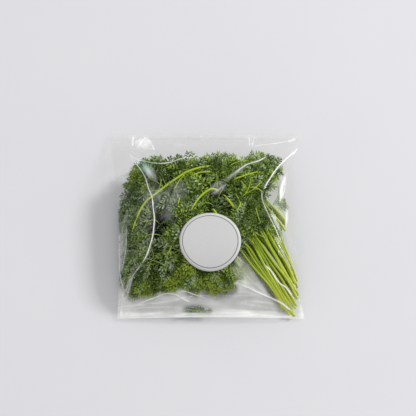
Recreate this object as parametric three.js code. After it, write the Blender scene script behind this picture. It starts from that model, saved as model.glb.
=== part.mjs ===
// A bunch of fresh chervil in a clear film bag with a round paper label, lying flat on its back film.
// Millimetres. +X is to the right, +Y runs to the top seam and +Z is up. The origin is on the
// surface that the bag lies on, under the middle of the bag.
import * as THREE from "three";

// ---- Driving dimensions ----
const HALF_LENGTH = 86; // from the middle of the bag to its top or bottom seam
const BAG_HEIGHT = 36; // the fullest part of the bag above the surface
const END_SEAM = 6; // the welded top and bottom edges, where the two films lie flat together
const SIDE_FOLD = 1.5; // the flat edge at each side
const SEAM_GAP = 0.3; // between the two films where they lie together
const FILM = 0.3; // thickness of one film, measured upwards
const HALF_WIDTH = 74; // about half the bag's width, for the shares of the fold and the stations
const SIDE_POWER = 3; // exponent of the bulge from side to side: 2 is an ellipse, more is boxier
const END_POWER = 4; // exponent of the bulge from seam to seam: 2 is a parabola, more is boxier
const FILM_STEPS = 8; // stations from the middle of a film to its fold or seam
const CORNER_LIFT = 2; // height of the seam above the surface at a corner
const SIDE_LIFT = 7; // and how much higher it is at the middle of a side
const END_LIFT = 3; // and at the middle of the top or bottom seam
const BACK_PRESS = 1.9; // how soon the back film comes down to lie flat on the surface

// The bag's side edges, as pairs of y and x, because a filled bag draws its sides in.
const LEFT_EDGE = [[-86, -71.5], [-40, -71.5], [0, -72.5], [45, -76], [86, -82]];
const RIGHT_EDGE = [[-86, 80], [-62, 76], [-25, 74], [5, 70], [45, 70], [70, 76], [86, 82]];

const LABEL_RADIUS = 25;
const LABEL_THICKNESS = 0.2;
const LABEL_CENTRE = new THREE.Vector2(3.5, -31.5);
const LABEL_GAP = 0.3; // the adhesive, which keeps the label off the film
const LABEL_RINGS = 3;
const LABEL_SECTORS = 28;

const STEM_RADIUS = 1.05; // at the cut end
const TIP_RADIUS = 0.5; // where a sprig ends
const BLADE_EDGE = 0.5; // thickness of a leaflet at its outer edge
const LAYERS = 3; // the sprigs lie in this many layers
const SPRIGS_PER_LAYER = 9;
const FIRST_SHARE = 0.15; // where a layer's first sprig crosses the guide lines, in sprig spacings
const LAYER_SHIFT = 0.35; // and how much further on it does so in the next layer
const LEAFLET_LENGTH = 8.5; // the longest leaflet, from the stalk to its tip
const LEAFLET_PAIRS = 8;
const LEAFLET_LEAN = 0.55; // how far a leaflet's tip lies ahead of its root, as a share of its length
const LEAFLET_SPREAD = 0.45; // where it is widest, as a share of the way to the next pair
const REACH_FROM = 0.16; // the leaflets' lengths follow this stretch of a half sine wave
const REACH_TO = 0.9;
const TIP_WIDTH = 1.2; // the flat end of a sprig
const TIP_HEIGHT = 0.6;
const LEAF_START = 0.42; // share of a sprig's length that is bare stem, for the first sprig of a layer
const LEAF_START_DROP = 0.1; // and how much less it is for the last
const SIDE_LEAF_START = 0.38; // the same share for a side sprig
const SIDE_SIZE = 0.6; // a side sprig's leaflets, as a share of the others'
const STEM_STEPS = 8;
const SHINGLE = 0.014; // share of the bag's inner height that a blade rises for each mm to the left

// ---- The bag's two surfaces ----
function edgeLine(points) {
  const ys = points.map(([y]) => y);
  const xs = points.map(([, x]) => x);
  const line = new THREE.CubicInterpolant(ys, xs, 1);
  return (y) => line.evaluate(THREE.MathUtils.clamp(y, -HALF_LENGTH, HALF_LENGTH))[0];
}

const leftEdge = edgeLine(LEFT_EDGE);
const rightEdge = edgeLine(RIGHT_EDGE);

// u runs from -1 at the left edge to 1 at the right edge, and v from the bottom seam to the top seam.
function placeOf(u, v) {
  const y = v * HALF_LENGTH;
  return new THREE.Vector2(THREE.MathUtils.lerp(leftEdge(y), rightEdge(y), (u + 1) / 2), y);
}

function acrossAt(x, y) {
  const left = leftEdge(y);
  const right = rightEdge(y);
  return [(2 * (x - left)) / (right - left) - 1, y / HALF_LENGTH];
}

// 1 over the middle of the bag, and 0 at the inner line of the seam and beyond it.
function bulge(u, v) {
  const across = Math.min(1, Math.abs(u) / (1 - SIDE_FOLD / HALF_WIDTH));
  const along = Math.min(1, Math.abs(v) / (1 - END_SEAM / HALF_LENGTH));
  return Math.sqrt(1 - across ** SIDE_POWER) * (1 - along ** END_POWER);
}

function seamHeight(u, v) {
  return CORNER_LIFT + SIDE_LIFT * (1 - v * v) + END_LIFT * (1 - u * u);
}

// The underside of each film.
function backHeight(u, v) {
  return Math.max(0, seamHeight(u, v) * (1 - BACK_PRESS * bulge(u, v)));
}

function frontHeight(u, v) {
  const seam = seamHeight(u, v) + FILM + SEAM_GAP;
  return seam + bulge(u, v) * (BAG_HEIGHT - FILM - LABEL_GAP - LABEL_THICKNESS - seam);
}

// ---- Closed solids ----
function solidFrom(positions, triangles) {
  const geometry = new THREE.BufferGeometry();
  geometry.setAttribute("position", new THREE.Float32BufferAttribute(positions.flat(), 3));
  geometry.setIndex(triangles.flat());
  geometry.computeVertexNormals();
  return geometry;
}

// A sheet over a grid of points: the grid, the same grid one thickness higher, and a wall round the edge.
function sheetSolid(rows, thickness) {
  const high = rows.length;
  const wide = rows[0].length;
  const lower = rows.flat();
  const upper = lower.map(([x, y, z]) => [x, y, z + thickness]);
  const triangles = [];
  for (let r = 0; r + 1 < high; r++) {
    for (let c = 0; c + 1 < wide; c++) {
      const a = r * wide + c;
      const [b, d, e] = [a + 1, a + wide, a + wide + 1];
      const top = lower.length;
      triangles.push([a, d, b], [b, d, e]);
      triangles.push([a + top, b + top, d + top], [b + top, e + top, d + top]);
    }
  }
  const rim = [];
  for (let c = 0; c < wide; c++) rim.push(c);
  for (let r = 1; r < high; r++) rim.push(r * wide + wide - 1);
  for (let c = wide - 2; c >= 0; c--) rim.push((high - 1) * wide + c);
  for (let r = high - 2; r > 0; r--) rim.push(r * wide);
  rim.forEach((a, i) => {
    const b = rim[(i + 1) % rim.length];
    const top = lower.length;
    triangles.push([a, b, b + top], [a, b + top, a + top]);
  });
  return solidFrom([...lower, ...upper], triangles);
}

// Stations from -1 to 1, close together at the edges, where the films curve most.
function stations(flatShare) {
  const half = [1];
  for (let i = FILM_STEPS; i > 0; i--) {
    half.unshift((1 - flatShare) * Math.sin((Math.PI * i) / (2 * FILM_STEPS)));
  }
  half.sort((a, b) => a - b);
  return [...half.map((s) => -s).reverse(), 0, ...half];
}

function filmSolid(height) {
  const us = stations(SIDE_FOLD / HALF_WIDTH);
  const vs = stations(END_SEAM / HALF_LENGTH);
  const rows = vs.map((v) =>
    us.map((u) => {
      const place = placeOf(u, v);
      return [place.x, place.y, height(u, v)];
    }),
  );
  return sheetSolid(rows, FILM);
}

// A round sheet in rings, which follows the front film under it.
function labelSolid() {
  const heightAt = (x, y) => frontHeight(...acrossAt(x, y)) + FILM + LABEL_GAP;
  const lower = [[LABEL_CENTRE.x, LABEL_CENTRE.y, heightAt(LABEL_CENTRE.x, LABEL_CENTRE.y)]];
  for (let ring = 1; ring <= LABEL_RINGS; ring++) {
    for (let s = 0; s < LABEL_SECTORS; s++) {
      const turn = (2 * Math.PI * s) / LABEL_SECTORS;
      const x = LABEL_CENTRE.x + (LABEL_RADIUS * ring * Math.cos(turn)) / LABEL_RINGS;
      const y = LABEL_CENTRE.y + (LABEL_RADIUS * ring * Math.sin(turn)) / LABEL_RINGS;
      lower.push([x, y, heightAt(x, y)]);
    }
  }
  const top = lower.length;
  const upper = lower.map(([x, y, z]) => [x, y, z + LABEL_THICKNESS]);
  const triangles = [];
  const both = (a, b, c) => triangles.push([a, c, b], [a + top, b + top, c + top]);
  const at = (ring, s) => (ring === 0 ? 0 : 1 + (ring - 1) * LABEL_SECTORS + (s % LABEL_SECTORS));
  for (let s = 0; s < LABEL_SECTORS; s++) {
    both(0, at(1, s), at(1, s + 1));
    for (let ring = 1; ring < LABEL_RINGS; ring++) {
      both(at(ring, s), at(ring + 1, s), at(ring + 1, s + 1));
      both(at(ring, s), at(ring + 1, s + 1), at(ring, s + 1));
    }
    const [a, b] = [at(LABEL_RINGS, s), at(LABEL_RINGS, s + 1)];
    triangles.push([a, b, b + top], [a, b + top, a + top]);
  }
  return solidFrom([...lower, ...upper], triangles);
}

// ---- The bunch ----
// Five guide lines cross the bunch, from its cut ends to its leaf tips. Each sprig passes through
// the same share of every guide line, so sprigs of one layer never cross.
const GUIDES = [
  [[62, -74], [69, -67], [71, -54], [71, -40]], // cut ends
  [[30, -32], [36, -18], [41, -6], [46, 8]], // where the stems enter the leaves
  [[4, -28], [8, -2], [15, 19], [32, 36]],
  [[-14, -46], [-30, -12], [-24, 21], [-2, 45]],
  [[-6, -64], [-44, -64], [-62, -40], [-62, 4], [-53, 44]], // leaf tips
].map((points) => new THREE.CatmullRomCurve3(points.map(([x, y]) => new THREE.Vector3(x, y, 0))));

// Short sprigs that turn up into the top right corner instead.
const SIDE_SPRIG = [[65, -6], [56, 8], [51, 22], [51, 37], [57, 50]];

function sprigPath(share) {
  return new THREE.CatmullRomCurve3(GUIDES.map((guide) => guide.getPointAt(share)));
}

function sidePath() {
  return new THREE.CatmullRomCurve3(SIDE_SPRIG.map(([x, y]) => new THREE.Vector3(x, y, 0)));
}

// Height inside the bag: share 0 is on the back film and 1 is under the front film.
function heightInside(x, y, share) {
  const [u, v] = acrossAt(x, y);
  return THREE.MathUtils.lerp(backHeight(u, v) + FILM, frontHeight(u, v), share);
}

// How far a leaflet reaches from the stalk, for t from 0 at the first leaflet to 1 at the tip.
function leafletReach(t, longest) {
  return longest * Math.sin(Math.PI * THREE.MathUtils.lerp(REACH_FROM, REACH_TO, t));
}

// A sprig as one solid: a six-sided stem that carries pairs of leaflets leaning forward. Each
// station has six points: the stem's top, two at the left, its bottom and two at the right.
function sprigSolid(path, layerShare, longest, leafStart) {
  const points = [];
  const flank = Math.cos(Math.PI / 6);
  const shoulder = Math.sin(Math.PI / 6);
  const addStation = (share, reach, lean, radius, blade) => {
    const middle = path.getPointAt(share);
    const ahead = path.getTangentAt(share);
    const side = new THREE.Vector3(-ahead.y, ahead.x, 0).normalize();
    const corner = (across, up) => {
      const spot = middle.clone().addScaledVector(side, across);
      spot.addScaledVector(ahead, Math.abs(across) * lean);
      const level = layerShare + SHINGLE * across;
      points.push([spot.x, spot.y, heightInside(spot.x, spot.y, level) + up]);
    };
    corner(0, radius);
    corner(reach, blade);
    corner(reach, -blade);
    corner(0, -radius);
    corner(-reach, -blade);
    corner(-reach, blade);
  };
  const radiusAt = (share) => THREE.MathUtils.lerp(STEM_RADIUS, TIP_RADIUS, share);
  for (let i = 0; i < STEM_STEPS; i++) {
    const share = (leafStart * i) / STEM_STEPS;
    addStation(share, flank * radiusAt(share), 0, radiusAt(share), shoulder * radiusAt(share));
  }
  const widest = [];
  for (let pair = 0; pair < LEAFLET_PAIRS; pair++) {
    const t = pair / (LEAFLET_PAIRS - 1);
    const step = (1 - leafStart) / LEAFLET_PAIRS;
    const root = leafStart + step * pair;
    addStation(root, flank * radiusAt(root), 0, radiusAt(root), shoulder * radiusAt(root));
    widest.push(points.length / 6);
    const outer = root + LEAFLET_SPREAD * step;
    addStation(outer, leafletReach(t, longest), LEAFLET_LEAN, radiusAt(outer), BLADE_EDGE / 2);
  }
  addStation(1, TIP_WIDTH / 2, 0, TIP_RADIUS, TIP_HEIGHT / 2);
  const count = points.length / 6;
  const triangles = [];
  for (let s = 0; s + 1 < count; s++) {
    for (let k = 0; k < 6; k++) {
      const a = s * 6 + k;
      const b = s * 6 + ((k + 1) % 6);
      const [c, d] = [a + 6, b + 6];
      // The diagonal meets the stem at the station that carries the leaflet, which leans forward.
      const stemFirst = k === 0 || k === 3;
      const fromA = widest.includes(s) ? stemFirst : !stemFirst;
      if (fromA) triangles.push([a, d, b], [a, c, d]);
      else triangles.push([a, c, b], [b, c, d]);
    }
  }
  const last = (count - 1) * 6;
  for (let k = 1; k < 5; k++) {
    triangles.push([0, k, k + 1], [last, last + k + 1, last + k]);
  }
  return solidFrom(points, triangles);
}

// ---- Materials ----
const film = new THREE.MeshStandardMaterial({
  color: 0xeef1f0, roughness: 0.12, metalness: 0, transparent: true, opacity: 0.25,
});
const paper = new THREE.MeshStandardMaterial({ color: 0xe9e9ea, roughness: 0.6, metalness: 0 });
const greens = [0x4d7a26, 0x3f6d22, 0x5c8a2c].map(
  (color) => new THREE.MeshStandardMaterial({ color, roughness: 0.55, metalness: 0 }),
);

function piece(name, geometry, material) {
  const mesh = new THREE.Mesh(geometry, material);
  mesh.name = name;
  return mesh;
}

// ---- The part ----
const bag = new THREE.Group();
bag.add(piece("back_film", filmSolid(backHeight), film));
bag.add(piece("front_film", filmSolid(frontHeight), film));
bag.add(piece("label", labelSolid(), paper));

const bunch = new THREE.Group();
let number = 0;
const addSprig = (layer, geometry) => {
  number += 1;
  bunch.add(piece(`sprig_${String(number).padStart(2, "0")}`, geometry, greens[layer % greens.length]));
};
for (let layer = 0; layer < LAYERS; layer++) {
  const layerShare = (layer + 0.5) / LAYERS;
  for (let i = 0; i < SPRIGS_PER_LAYER; i++) {
    const share = (i + FIRST_SHARE + LAYER_SHIFT * layer) / SPRIGS_PER_LAYER;
    const leafStart = LEAF_START - LEAF_START_DROP * share;
    addSprig(layer, sprigSolid(sprigPath(share), layerShare, LEAFLET_LENGTH, leafStart));
  }
  addSprig(layer, sprigSolid(sidePath(), layerShare, SIDE_SIZE * LEAFLET_LENGTH, SIDE_LEAF_START));
}

const part = new THREE.Group();
part.add(bag, bunch);
export default part;
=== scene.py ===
"""A bunch of fresh chervil in a clear film bag with a round paper label, lying on a pale floor.

Metres. +X is to the right, +Y runs to the bag's top seam and +Z is up from the floor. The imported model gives
the bag's size, and every piece made here stands for one of its nodes.
"""

import math

import bpy
import numpy as np
from bpy.props import FloatProperty, FloatVectorProperty, IntProperty, PointerProperty
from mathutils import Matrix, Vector


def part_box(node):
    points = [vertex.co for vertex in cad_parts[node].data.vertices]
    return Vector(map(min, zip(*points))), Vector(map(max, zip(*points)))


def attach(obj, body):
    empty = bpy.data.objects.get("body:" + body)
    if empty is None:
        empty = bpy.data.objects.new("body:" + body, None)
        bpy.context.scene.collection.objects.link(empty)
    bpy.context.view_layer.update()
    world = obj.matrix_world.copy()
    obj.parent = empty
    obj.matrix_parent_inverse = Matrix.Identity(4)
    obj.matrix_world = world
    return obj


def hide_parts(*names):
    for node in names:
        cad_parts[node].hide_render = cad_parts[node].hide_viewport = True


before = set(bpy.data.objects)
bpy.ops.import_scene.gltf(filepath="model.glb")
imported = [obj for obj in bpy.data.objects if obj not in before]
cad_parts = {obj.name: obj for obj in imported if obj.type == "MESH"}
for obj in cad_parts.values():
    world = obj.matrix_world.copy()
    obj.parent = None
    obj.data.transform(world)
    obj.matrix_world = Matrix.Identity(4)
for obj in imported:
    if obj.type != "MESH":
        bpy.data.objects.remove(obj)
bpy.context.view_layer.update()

bl_info = {
    "name": "Bunch of chervil in a clear bag",
    "version": (1, 0, 0),
    "blender": (4, 5, 0),
    "location": "View3D > Sidebar > Chervil",
    "description": "Builds a bag of cut chervil around its packed model",
    "category": "Add Mesh",
}

MM = 0.001
BODY = "root"

# The values that each finish reads from its mesh.
LEAF_VALUES = ("tint", "painted_light", "shade", "rib", "out", "turned")
STEM_VALUES = ("age", "tint", "shade")
FILM_VALUES = ("crease", "side", "film_glare", "cast", "cool")

# Keeps a length from being nothing where it divides.
TINY = 1e-12
# Cells to a side of the random lattice under each wave.
LATTICE = 64
# Between the front surface of the bag and the label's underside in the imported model.
FILM_CLEARANCE = 0.2 * MM
# Between the front surface of the bag and the label.
LABEL_CLEARANCE = 0.04 * MM
# The label's printed ring, as a share of the way to its rim.
RING_PLACE = 0.9
# How far from its route a crease still lifts the film.
CREASE_FOOT = 0.8 * MM
# How far to the side of a crease is counted, in crease widths.
FAR_ASIDE = 3.0
# Ribs round a stalk.
STEM_RIBS = 7
# Rings of points along a stalk of the bundle, and along one over the leaf.
CUT_STEPS = 44
LOOSE_STEPS = 24
# Sprigs that fan out in each layer. One more lies at the side.
FANNED = 9
# The seed of the first layer's random draws. Each later layer takes the next number.
FIRST_SEED = 700
# How far behind its start a frond leaves the stalk.
FROND_TAIL = 8 * MM
# Leaflets that have fallen off, as a share of all.
MISSING_SHARE = 0.06
# How far a leaflet turns away from its branch.
LEAFLET_TURN = math.radians(55)
# Squares to a side of the canopy.
CANOPY_SQUARES = 128
# The floor's half width, and how far it lies under the bag.
FLOOR_REACH = 4.0
FLOOR_DROP = 0.1 * MM

# ---- The bag's outline and the sprigs' routes, seen from above, in millimetres ----
# A filled bag draws its sides in. Pairs of y and x.
LEFT_EDGE = [(-86, -71.5), (-40, -71.5), (0, -72.5), (45, -76), (86, -82)]
RIGHT_EDGE = [(-86, 80), (-62, 76), (-25, 74), (5, 70), (45, 70), (70, 76), (86, 82)]

# The sprigs fan out. Each line is crossed by them in turn, from the cut ends to the leaf tips.
GUIDES = [
    [(63, -79), (72, -82), (74, -70), (73, -58), (71, -46)],
    [(31, -33), (36, -19), (41, -7), (46, 5)],
    [(4, -28), (8, -2), (15, 18), (32, 34)],
    [(-14, -46), (-30, -12), (-24, 20), (-2, 43)],
    [(-6, -64), (-44, -64), (-62, -40), (-62, 4), (-52, 42)],
]
# How far a sprig strays from its place on each line, as a share of the line.
GUIDE_STRAY = (0.16, 0.07, 0, 0, 0)
# The route of the one sprig in each layer that lies at the side.
SIDE_ROUTE = [(65, -5), (55, 6), (46, 17), (49, 34), (55, 47)]

# Where the leaf ends, all the way round.
HERB_OUTLINE = [
    (-59, 42), (-56, 46), (-54, 50), (-49, 53), (-46, 50), (-44, 53), (-41, 49), (-38, 52), (-35, 49),
    (-32, 52), (-30, 48), (-25, 46), (-21, 49), (-16, 47), (-12, 50), (-8, 54), (-5, 51), (-2, 49),
    (3, 48), (7, 50), (11, 54), (13, 50), (17, 54), (19, 49), (23, 53), (26, 48), (31, 50), (35, 53),
    (40, 54), (42, 46), (46, 51), (49, 53), (51, 48), (55, 51), (58, 47), (62, 49), (65, 51), (66, 49),
    (64, 45), (66, 46), (64, 40), (60, 36), (57, 29), (53, 25), (50, 18), (48, 12), (47, 5), (47, -2),
    (49, -9), (52, -17), (50, -20), (46, -15), (41, -19), (36, -18), (33, -22), (30, -27), (28, -36),
    (24, -49), (21, -55), (27, -56), (28, -61), (24, -64), (24, -69), (20, -71), (13, -72), (8, -73),
    (4, -72), (-1, -71), (-4, -69), (-8, -72), (-14, -71), (-17, -68), (-22, -67), (-25, -69), (-32, -70),
    (-38, -69), (-42, -71), (-47, -72), (-53, -72), (-59, -73), (-63, -71), (-64, -68), (-66, -63),
    (-69, -58), (-70, -52), (-67, -47), (-66, -36), (-68, -22), (-71, -6), (-72, 5), (-72, 12), (-66, 13),
    (-63, 15), (-63, 20), (-66, 25), (-67, 31), (-68, 37), (-64, 42),
]

# The fronds head away from this place, where the stalks enter the leaf.
HEART = (30, -6)

# Leaf that lies deeper lies nearer to the top seam, by this share of its depth.
HERB_LEAN = 0.53

# The layers of sprigs, from the back film up. Of each: how many fronds make its edge; how far inside the
# outline these stop, at least, at most, and how much further at the top; how deep they lie; and the beds of
# fronds inside the edge. A bed is the space between fronds, the least space to the edge, the least and the
# most depth, and how much longer than usual its fronds are.
LAYERS = [
    (44, (4, 8, 0.9), (8, 20), [(14, 6, (18, 32), 1.3)]),
    (44, (4, 7, 0.9), (4, 10), [(15, 6, (12, 18), 1.2)]),
    (48, (1.5, 4, 1.9), (1.5, 4), [(17, 6, (8, 13), 1.1), (22, 5, (4.5, 8), 1.0), (24, 4, (1.6, 4), 1.0)]),
]

# Where the leaf is painted lighter and yellow-green, as light falling on it: x, y and the patch's radius.
PAINTED_LIGHT_PATCHES = [(-63, 39, 15), (-66, -64, 12), (-50, -68, 9), (-26, -63, 11), (0, -68, 14), (20, -64, 10),
                 (60, 60, 12), (40, 62, 10), (-30, 60, 9), (5, 60, 9), (64, 18, 8), (-12, -52, 10),
                 (10, -60, 10), (-64, 30, 10)]

# Where the leaf is painted darker, as shade: x, y and the patch's radius.
PAINTED_SHADE_PATCHES = [(-35, 31, 10), (0, 36, 8), (12, 12, 18), (36, 1, 16), (40, -10, 12), (22, 24, 11),
                (27, 2, 13), (28, -14, 10), (-13, 9, 10), (-60, -18, 10), (-34, -27, 14), (-50, -52, 9),
                (-60, 14, 9), (-7, -80, 20)]

# Where the leaf is duller, and more of it shows its underside: x, y and the patch's radius.
DULL_PATCHES = [(-52, -4, 34), (-48, -40, 28), (-30, 14, 22)]

# Where the film is painted with green light that the leaf beside it throws on it: x, y and the patch's radius.
CAST_PATCHES = [(31, -50, 20)]

# Where the painted highlight on the creased film is a cooler colour: x, y and the patch's radius.
COOL_PATCHES = [(-51, 41, 14)]

# Where the scrap in the bottom fold lies: x, y and the patch's radius, and how many times as wide as tall
# the patch is.
SCRAP_PATCH = (-7, -80, 19)
SCRAP_FLATNESS = 5

# Stray fronds: the tip's x and y, the heading in degrees, the length, how wide it is for its length, and how
# deep it lies under the front film. The last ones are a scrap pressed flat in the bottom fold.
STRAY_FRONDS = [(57, -22, -62, 15, 0.8, 3), (51, -12, -75, 14, 0.7, 3), (64, 12, 60, 9, 0.6, 1.5),
                (5, -81, -3, 12, 0.22, 0.4), (-2, -80, -8, 11, 0.25, 0.4),
                (-17, -79, 172, 12, 0.25, 0.4), (-10, -79.5, 5, 12, 0.25, 0.4)]

# The bundle of bare stalks, seen from above.
BUNDLE_OUTLINE = [(26, -38), (44, 6), (56, 0), (66, -30), (77, -44), (77, -72), (74, -84), (60, -80)]

# Bare stalks on top of the bundle, from the cut end to the leaf, then the radius and how light the stalk is.
CUT_STALKS = [
    ([(72, -84), (61, -70), (49, -52), (40, -34), (33, -18)], 1.2, 1.0),
    ([(74, -70), (67, -59), (55, -46), (45, -31), (36, -17)], 1.1, 0.9),
    ([(73, -64), (63, -51), (53, -35), (46, -22), (41, -12)], 0.9, 0.8),
    ([(73, -58), (66, -46), (60, -37), (53, -24), (46, -8)], 1.0, 1.0),
    ([(73, -51), (66, -39), (60, -28), (54, -17), (50, -8)], 0.8, 0.7),
    ([(72, -77), (62, -65), (51, -50), (44, -37), (38, -24)], 0.9, 0.6),
    ([(61, -74), (51, -64), (41, -54), (33, -44), (24, -30)], 0.9, 0.8),
    ([(66, -79), (56, -67), (46, -55), (37, -42), (29, -26)], 1.0, 0.7),
    ([(75, -66), (66, -54), (56, -38), (49, -25), (43, -10)], 0.8, 0.5),
    ([(71, -81), (60, -66), (50, -48), (43, -35), (35, -19)], 0.8, 0.4),
    ([(70, -44), (65, -33), (61, -22), (56, -10), (53, -2)], 0.7, 0.8),
    ([(70, -82), (59, -68), (46, -52), (37, -38), (30, -24)], 1.0, 0.1),
    ([(73, -75), (64, -62), (53, -48), (44, -34), (37, -20)], 1.0, 0.2),
    ([(75, -60), (68, -49), (61, -38), (54, -26), (49, -14)], 0.9, 0.1),
    ([(68, -83), (57, -70), (46, -57), (37, -46), (30, -35)], 0.9, 0.3),
    ([(74, -54), (69, -44), (63, -33), (58, -22), (54, -10)], 0.8, 0.2),
    ([(74, -68), (65, -57), (57, -43), (49, -29), (42, -15)], 0.8, 0.0),
    ([(65, -15), (56, -4), (50, 4), (45, 12)], 1.2, 1.0),
    ([(65, -5), (60, 0), (54, 6), (46, 15)], 1.1, 1.0),
]

# Bare stalks that lie on top of the leaf, under the front film: the route, then its radius at both ends.
LOOSE_STALKS = [
    ([(7, 41), (-13, 34), (-29, 23), (-40, 14), (-50, 6), (-57, -8), (-62, -26)], 1.0, 0.8),
    ([(6, 33), (-5, 32), (-15, 27)], 0.8, 0.5),
    ([(10, 17), (3, 16), (-5, 9), (-13, -4)], 1.0, 0.8),
    ([(-21, 9), (-22, 6), (-23, 2)], 0.7, 0.5),
    ([(21, 25), (32, 30), (45, 36)], 0.7, 0.5),
    ([(28, 26), (31, 20), (31, 14)], 0.5, 0.4),
    ([(29, 7), (27, 0), (23, -5)], 0.6, 0.5),
    ([(35, 19), (40, 19), (46, 17)], 0.6, 0.5),
    ([(16, 9), (20, 4), (23, -1)], 1.1, 0.8),
    ([(5, -1), (9, -7), (13, -14)], 1.0, 0.9),
    ([(13, 13), (20, 5), (26, -4)], 0.5, 0.3),
    ([(24, 14), (27, 6), (30, -2), (32, -10)], 0.4, 0.3),
    ([(37, 31), (36, 22), (33, 14), (27, 7)], 0.4, 0.3),
    ([(47, 28), (42, 21), (36, 15), (29, 12)], 0.4, 0.3),
    ([(18, 38), (26, 43), (36, 46)], 0.4, 0.3),
    ([(-15, 33), (-22, 24), (-27, 14)], 0.4, 0.3),
    ([(-4, 38), (-16, 33), (-24, 27)], 0.5, 0.4),
    ([(40, 4), (42, -6), (45, -14)], 0.4, 0.4),
]

# Creases that stand up in the front film: the route, then how high, how wide and how white the painted
# highlight along each crease is.
CREASES = [
    ([(-64, 54), (-61, 48), (-56, 41), (-50, 29), (-47, 18), (-44, 9), (-42, -6)], 0.7, 0.32, 1.4),
    ([(-46, 14), (-44, 9), (-43, -1), (-42, -11), (-43, -24), (-45, -33), (-48, -42), (-53, -50)],
     0.8, 0.48, 1.7),
    ([(-52, -48), (-58, -55), (-62, -61), (-66, -70)], 0.6, 0.7, 0.45),
    ([(-66, -64), (-68, -70), (-69, -77), (-70, -86)], 0.6, 0.9, 0.9),
    ([(-62, 50), (-57, 47), (-51, 45), (-43, 42), (-36, 41), (-29, 42), (-21, 45), (-13, 48)],
     0.5, 0.35, 1.2),
    ([(22, 29), (32, 39), (43, 45), (52, 53)], 0.4, 0.6, 0.8),
    ([(81, 80), (77, 72), (66, 54), (59, 42), (53, 30), (46, 16)], 0.7, 0.42, 1.3),
    ([(46, 18), (46, 8), (50, -3), (56, -16), (60, -26)], 0.5, 0.4, 0.9),
    ([(81, 86), (69, 77), (60, 71), (47, 65), (36, 60)], 0.5, 0.6, 0.6),
    ([(36, 84), (36, 60)], 0.5, 0.5, 0.9),
    ([(41, 84), (38, 60)], 0.5, 0.5, 0.8),
    ([(-61, 84), (-61, 64)], 0.5, 0.9, 1.2),
    ([(-58, 60), (-54, 71), (-50, 84)], 0.5, 0.7, 1.0),
    ([(-50, 84), (-46, 68), (-42, 54)], 0.5, 0.7, 1.0),
    ([(-52, 83), (-49, 72), (-47, 63)], 0.5, 1.0, 1.2),
    ([(-64, 62), (-53, 61), (-42, 57)], 0.4, 0.7, 0.6),
    ([(-65, 58), (-60, 50), (-54, 47)], 0.5, 0.7, 1.1),
    ([(-70, -86), (-61, -79), (-50, -75), (-41, -73), (-32, -71), (-23, -72), (-16, -74)], 0.6, 0.5, 1.0),
    ([(-66, -84), (-54, -79), (-44, -76), (-34, -74)], 0.4, 0.4, 0.6),
    ([(-26, -71), (-19, -74), (-12, -76)], 0.5, 0.7, 1.2),
    ([(-18, -72), (-4, -75), (12, -75), (24, -76)], 0.3, 0.4, 0.6),
    ([(-8, -71), (2, -73), (12, -74)], 0.3, 0.35, 0.5),
    ([(24, -65), (33, -67), (42, -70), (53, -73), (62, -76), (74, -83)], 0.6, 0.75, 1.2),
    ([(28, -75), (44, -76), (60, -78)], 0.3, 0.4, 0.7),
    ([(47, -49), (54, -56), (59, -62), (65, -65), (72, -72)], 0.5, 0.5, 1.2),
    ([(-71, 2), (-71, -24), (-70, -49), (-66, -68)], 0.4, 0.4, 0.9),
    ([(-65, -10), (-65, -28), (-66, -38), (-69, -50)], 0.3, 0.5, 0.7),
    ([(-24, -69), (-16, -70), (-8, -72), (2, -74), (10, -73)], 0.4, 0.5, 0.8),
    ([(-31, -71), (-24, -77), (-29, -81)], 0.3, 0.3, 0.5),
    ([(16, -41), (20, -37), (25, -38), (28, -41)], 0.3, 0.5, 0.9),
    ([(18, -46), (23, -43), (27, -46)], 0.3, 0.4, 0.7),
    ([(22, -66), (27, -63), (33, -65)], 0.4, 0.8, 0.9),
    ([(28, -55), (33, -60), (41, -66), (50, -72)], 0.3, 0.5, 0.4),
    ([(24, -53), (27, -58), (33, -62)], 0.3, 0.5, 0.5),
]

# Where the front film is painted with a milky reflection: x, y, half the length, half the width, the way the
# patch and its streaks run in degrees, and the strength.
FILM_GLARE_PATCHES = [
    (-47, 35, 16, 4.6, -61, 0.95), (-45, 10, 16, 11, 60, 0.26), (-26, 10, 20, 13, 60, 0.2),
    (-50, 0, 42, 18, 88, 0.08), (10, 17, 10, 7, 40, 0.5), (24, 31, 18, 2.6, 42, 0.5),
    (63, 24, 20, 2.8, 80, 1.4), (66, -3, 15, 1.6, 86, 1.0), (72, 79, 10, 3, 42, 0.7),
    (-52, 70, 15, 11, 90, 1.2), (27, -58, 13, 6, -50, 0.4), (26, -48.5, 8, 4, -50, 1.3),
    (-32, -7, 10, 8, 60, 0.16), (57, -10, 12, 2.5, -65, 0.8), (27, -65, 6, 2.6, 0, 0.9),
    (-63, -64, 18, 3, 71, 0.6), (-68, -26, 28, 4, 90, 0.4), (-68, -76, 9, 2.5, 78, 0.6),
]


# ---- Curves, patches and noise ----
def curve_through(points, count, steps=24):
    """count places evenly spaced along a smooth curve through the points. Between two points it is the cubic
    whose slope at each end is half the line between that end's two neighbours."""
    points = np.asarray(points, float)
    ends = np.vstack([2 * points[0] - points[1], points, 2 * points[-1] - points[-2]])[:, None]
    a, b, c, d = ends[:-3], ends[1:-2], ends[2:-1], ends[3:]
    t = np.linspace(0, 1, steps, endpoint=False)[None, :, None]
    line = b + t * ((c - a) + t * ((2 * a - 5 * b + 4 * c - d) + t * (3 * b - a - 3 * c + d))) / 2
    line = np.vstack([line.reshape(-1, points.shape[1]), points[-1]])
    length = np.concatenate([[0], np.cumsum(np.linalg.norm(np.diff(line, axis=0), axis=1))])
    where = np.linspace(0, length[-1], count)
    return np.stack([np.interp(where, length, axis) for axis in line.T], axis=1)


def share_of(line, share):
    """The place at a share of the way along an evenly spaced line."""
    return np.array([np.interp(share, np.linspace(0, 1, len(line)), axis) for axis in line.T])


def smooth_step(low, high, value):
    """0 below low and 1 above high, with a cubic between."""
    t = np.clip((value - low) / (high - low), 0, 1)
    return t * t * (3 - 2 * t)


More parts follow.
